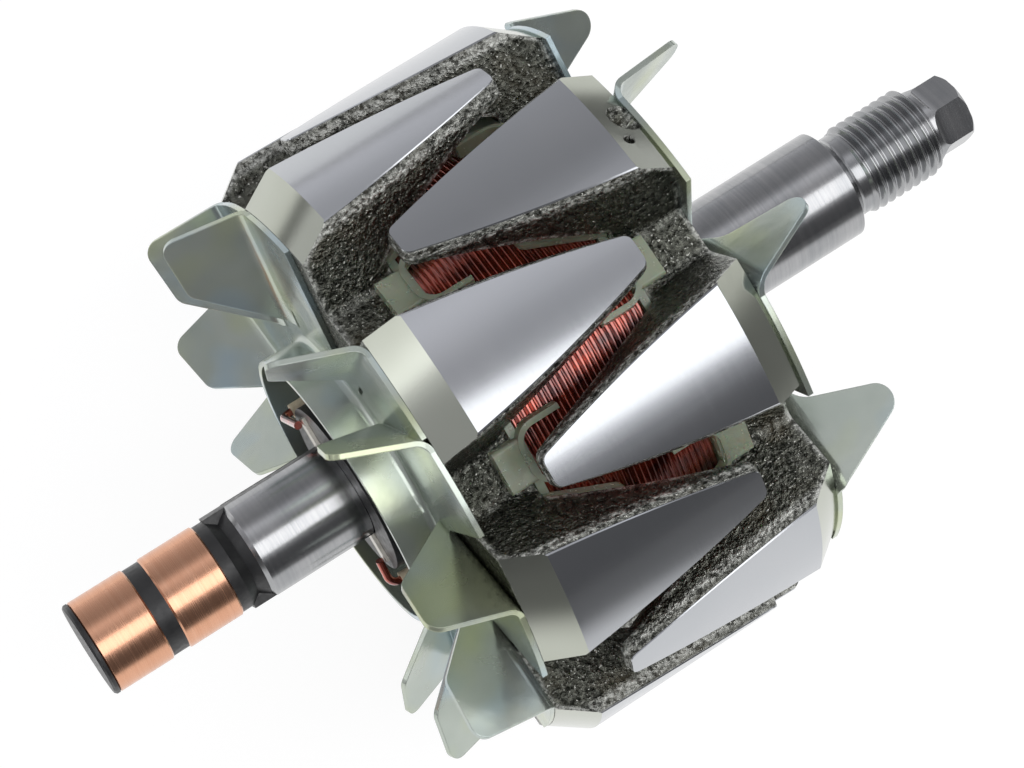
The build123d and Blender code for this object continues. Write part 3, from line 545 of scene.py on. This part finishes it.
def threaded_shaft():
    """The shaft with its thread cut as a helix."""
    thread = mounts["pulley_thread"]
    middle = thread["pos_m"][0] / MM
    crest = thread["dims"]["r_mm"]
    start = middle - thread["dims"]["length_mm"] / 2 - THREAD_CHAMFER
    end = middle + thread["dims"]["length_mm"] / 2 + THREAD_CHAMFER
    source = nodes["shaft"].data
    verts = [tuple(v.co) for v in source.vertices]
    faces = []
    for polygon in source.polygons:
        highlight_spots = [source.vertices[i].co / MM for i in polygon.vertices]
        in_band = all(start - BAND_SLACK < p.x < end + BAND_SLACK for p in highlight_spots)
        outside = all(math.hypot(p.y, p.z) > NOSE_RADIUS - BAND_SLACK for p in highlight_spots)
        if not (in_band and outside):
            faces.append(tuple(polygon.vertices))
    close_rims(verts, faces)
    first = len(verts)
    rows = int((end - start) / THREAD_PITCH * THREAD_ROWS_PER_TURN)
    for row in range(rows + 1):
        x = start + (end - start) * row / rows
        for k in range(THREAD_STEPS):
            angle = 2 * math.pi * k / THREAD_STEPS
            verts.append(around(x, thread_radius(x, angle, start, end, crest), angle))
    turned = grid_faces(rows + 1, THREAD_STEPS, first)
    close_rims(verts, turned)
    return add_piece("threaded_shaft", verts, faces + turned, "ground_steel")


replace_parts(wound_coil(), "field_coil")
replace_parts(threaded_shaft(), "shaft")


# Stage, lamps and camera

def join(tree, operation, first, second):
    """A maths node between two sockets, or a socket and a number."""
    made = tree.nodes.new("ShaderNodeMath")
    made.operation = operation
    tree.links.new(first, made.inputs[0])
    if isinstance(second, float):
        made.inputs[1].default_value = second
    else:
        tree.links.new(second, made.inputs[1])
    return made.outputs[0]


def lamp(name, settings):
    """A soft lamp that faces the rotor, its long side along the shaft."""
    around_shaft, toward_end, distance, length, width, radiance = settings
    light = bpy.data.lights.new(name, "AREA")
    light.shape = "RECTANGLE"
    light.size = length
    light.size_y = width
    light.energy = radiance * math.pi * length * width
    obj = bpy.data.objects.new(name, light)
    turn = CAMERA_SIDE_ANGLE + math.radians(around_shaft)
    rise = math.radians(toward_end)
    away = Vector((math.sin(rise), math.cos(rise) * math.cos(turn), math.cos(rise) * math.sin(turn)))
    side = away.cross(Vector((1, 0, 0))).normalized()
    turned = Matrix((side.cross(away), side, away)).transposed().to_4x4()
    obj.matrix_world = Matrix.Translation(away * distance) @ turned
    bpy.context.scene.collection.objects.link(obj)


def white_floor():
    """White to the camera; metal sees it bright near the rotor and dim further away."""
    material = bpy.data.materials.new("white_floor")
    material.use_nodes = True
    tree = material.node_tree
    surface = tree.nodes["Principled BSDF"]
    surface.inputs["Base Color"].default_value = (FLOOR_TONE, FLOOR_TONE, FLOOR_TONE, 1)
    surface.inputs["Roughness"].default_value = FLOOR_ROUGHNESS
    path = tree.nodes.new("ShaderNodeLightPath")
    place = tree.nodes.new("ShaderNodeTexCoord")
    shift = tree.nodes.new("ShaderNodeVectorMath")
    shift.operation = "MULTIPLY_ADD"
    shift.inputs[1].default_value = (TABLE_END_SQUEEZE, 1, 0)
    shift.inputs[2].default_value = (0, -TABLE_MIDDLE_Y, 0)
    tree.links.new(place.outputs["Object"], shift.inputs[0])
    away = tree.nodes.new("ShaderNodeVectorMath")
    away.operation = "LENGTH"
    tree.links.new(shift.outputs[0], away.inputs[0])
    near = tree.nodes.new("ShaderNodeMapRange")
    near.interpolation_type = "SMOOTHSTEP"
    near.inputs["From Min"].default_value = TABLE_LIT_RADIUS
    near.inputs["From Max"].default_value = TABLE_DIM_RADIUS
    near.inputs["To Min"].default_value = 1.0
    near.inputs["To Max"].default_value = TABLE_DIM_LEVEL
    tree.links.new(away.outputs["Value"], near.inputs["Value"])
    mirrored = join(tree, "MAXIMUM", path.outputs["Is Glossy Ray"], path.outputs["Is Transmission Ray"])
    seen = join(tree, "MAXIMUM", path.outputs["Is Camera Ray"], mirrored)
    share = join(tree, "MULTIPLY", seen, FLOOR_GLOW_SHARE)
    level = join(tree, "MAXIMUM", path.outputs["Is Camera Ray"], near.outputs["Result"])
    glow = tree.nodes.new("ShaderNodeEmission")
    tree.links.new(join(tree, "MULTIPLY", level, FLOOR_GLOW), glow.inputs["Strength"])
    mix = tree.nodes.new("ShaderNodeMixShader")
    tree.links.new(share, mix.inputs["Fac"])
    tree.links.new(surface.outputs[0], mix.inputs[1])
    tree.links.new(glow.outputs[0], mix.inputs[2])
    tree.links.new(mix.outputs[0], tree.nodes["Material Output"].inputs["Surface"])
    return material


def add_floor():
    """A square floor that touches the lowest point of the rotor."""
    lowest = cad_box[0].z
    half = FLOOR_HALF_SIDE
    corners = [(x * half, y * half, lowest) for x, y in ((-1, -1), (1, -1), (1, 1), (-1, 1))]
    mesh = bpy.data.meshes.new("floor")
    mesh.from_pydata(corners, [], [(0, 1, 2, 3)])
    mesh.materials.append(white_floor())
    floor = bpy.data.objects.new("floor", mesh)
    bpy.context.scene.collection.objects.link(floor)


def light_room():
    """A studio whose level of light changes round the shaft. The camera itself sees it white."""
    world = bpy.data.worlds.new("studio")
    world.use_nodes = True
    tree = world.node_tree
    place = tree.nodes.new("ShaderNodeTexCoord")
    split = tree.nodes.new("ShaderNodeSeparateXYZ")
    tree.links.new(place.outputs["Generated"], split.inputs[0])
    turn = join(tree, "ARCTAN2", split.outputs["Z"], split.outputs["Y"])
    share = join(tree, "MULTIPLY", join(tree, "SUBTRACT", turn, CAMERA_SIDE_ANGLE - math.pi), 0.5 / math.pi)
    ramp = tree.nodes.new("ShaderNodeValToRGB")
    tree.links.new(join(tree, "FLOORED_MODULO", share, 1.0), ramp.inputs["Fac"])
    elements = ramp.color_ramp.elements
    while len(elements) < len(ROOM_LEVELS):
        elements.new(0.5)
    for element, (angle, level) in zip(elements, ROOM_LEVELS):
        element.position = angle / FULL_TURN + 0.5
        element.color = (level, level, level * ROOM_BLUE, 1)
    end = tree.nodes.new("ShaderNodeMapRange")
    end.inputs["From Min"].default_value = END_WALL_START
    end.inputs["From Max"].default_value = END_WALL_FULL
    tree.links.new(split.outputs["X"], end.inputs["Value"])
    wall = tree.nodes.new("ShaderNodeMix")
    wall.data_type = "RGBA"
    wall.inputs["B"].default_value = (END_WALL_LEVEL, END_WALL_LEVEL, END_WALL_LEVEL, 1)
    tree.links.new(end.outputs["Result"], wall.inputs["Factor"])
    tree.links.new(ramp.outputs["Color"], wall.inputs["A"])
    seen = tree.nodes.new("ShaderNodeMix")
    seen.data_type = "RGBA"
    seen.inputs["B"].default_value = (1, 1, 1, 1)
    tree.links.new(tree.nodes.new("ShaderNodeLightPath").outputs["Is Camera Ray"], seen.inputs["Factor"])
    tree.links.new(wall.outputs["Result"], seen.inputs["A"])
    tree.links.new(seen.outputs["Result"], tree.nodes["Background"].inputs["Color"])
    bpy.context.scene.world = world


def shaft_in_view():
    """The part's X, Y and Z axes in the camera's own right, down and forward directions."""
    along = Vector((
        math.cos(SHAFT_TILT) * math.cos(SHAFT_SLOPE),
        -math.cos(SHAFT_TILT) * math.sin(SHAFT_SLOPE),
        math.sin(SHAFT_TILT),
    ))
    near = Vector((0, 0, -1))
    near = (near - along * near.dot(along)).normalized()
    across = along.cross(near)
    y_axis = near * math.cos(CAMERA_SIDE_ANGLE) - across * math.sin(CAMERA_SIDE_ANGLE)
    z_axis = near * math.sin(CAMERA_SIDE_ANGLE) + across * math.cos(CAMERA_SIDE_ANGLE)
    return Matrix((along, y_axis, z_axis)).transposed()


def add_camera():
    """The camera stands where the photo's did, and its own axes are turned into the part's."""
    axes = shaft_in_view()
    back = axes.transposed()
    data = bpy.data.cameras.new("camera")
    data.lens = LENS
    data.clip_start = NEAREST_SEEN
    camera = bpy.data.objects.new("camera", data)
    place = -(back @ Vector((AIM_RIGHT, AIM_DOWN, AIM_BEYOND))) * MM
    right = back @ Vector((1, 0, 0))
    up = back @ Vector((0, -1, 0))
    behind = back @ Vector((0, 0, -1))
    turn = Matrix((right, up, behind)).transposed().to_4x4()
    camera.matrix_world = Matrix.Translation(place) @ turn
    bpy.context.scene.collection.objects.link(camera)
    bpy.context.scene.camera = camera


add_floor()
light_room()
lamp("key_lamp", KEY_LAMP)
lamp("side_lamp", SIDE_LAMP)
add_camera()
bpy.context.scene.view_settings.view_transform = "Standard"
